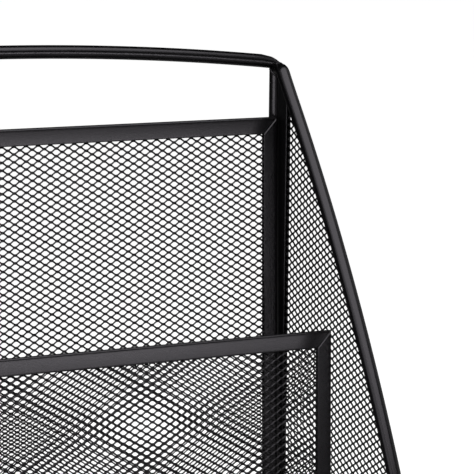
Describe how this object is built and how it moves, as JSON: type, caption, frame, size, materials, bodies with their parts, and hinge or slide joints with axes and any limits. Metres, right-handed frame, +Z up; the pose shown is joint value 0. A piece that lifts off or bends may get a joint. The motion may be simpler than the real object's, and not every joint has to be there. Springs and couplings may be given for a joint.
{
  "type": "magazine file holder",
  "caption": "Free-standing tiered magazine holder: bent steel rod frame with a bowed carry handle, and expanded metal mesh pockets edged with folded hems.",
  "frame": {"origin": "on the surface the holder stands on, under the middle of its bounding box", "axes": "+X to the right across the width, +Y towards the back panel, -Y towards the front lip, +Z up"},
  "size_m": [0.3188, 0.1732, 0.35],
  "materials": {
    "rod_black": "satin black powder coat on 6 mm steel rod",
    "hem_black": "satin black powder coat on folded sheet steel",
    "mesh_black": "satin black powder coat on expanded steel mesh",
    "foot_rubber": "matt black rubber"
  },
  "bodies": {
    "root": {"handle_frame": "rod_black", "left_side_rod": "rod_black", "right_side_rod": "rod_black", "rear_cross_rod": "rod_black", "front_cross_rod": "rod_black", "left_side_mesh": "mesh_black", "left_side_rear_hem": "hem_black", "left_side_bottom_hem": "hem_black", "right_side_mesh": "mesh_black", "right_side_rear_hem": "hem_black", "right_side_bottom_hem": "hem_black", "back_mesh": "mesh_black", "back_top_hem": "hem_black", "back_bottom_hem": "hem_black", "back_left_hem": "hem_black", "back_right_hem": "hem_black", "middle_mesh": "mesh_black", "middle_top_hem": "hem_black", "middle_bottom_hem": "hem_black", "middle_left_hem": "hem_black", "middle_right_hem": "hem_black", "lower_mesh": "mesh_black", "lower_top_hem": "hem_black", "lower_bottom_hem": "hem_black", "lower_left_hem": "hem_black", "lower_right_hem": "hem_black", "lip_mesh": "mesh_black", "lip_top_hem": "hem_black", "lip_bottom_hem": "hem_black", "lip_left_hem": "hem_black", "lip_right_hem": "hem_black", "floor_mesh": "mesh_black", "floor_top_hem": "hem_black", "floor_bottom_hem": "hem_black", "floor_left_hem": "hem_black", "floor_right_hem": "hem_black", "left_front_foot": "foot_rubber", "left_rear_foot": "foot_rubber", "right_front_foot": "foot_rubber", "right_rear_foot": "foot_rubber"}
  },
  "joints": []
}
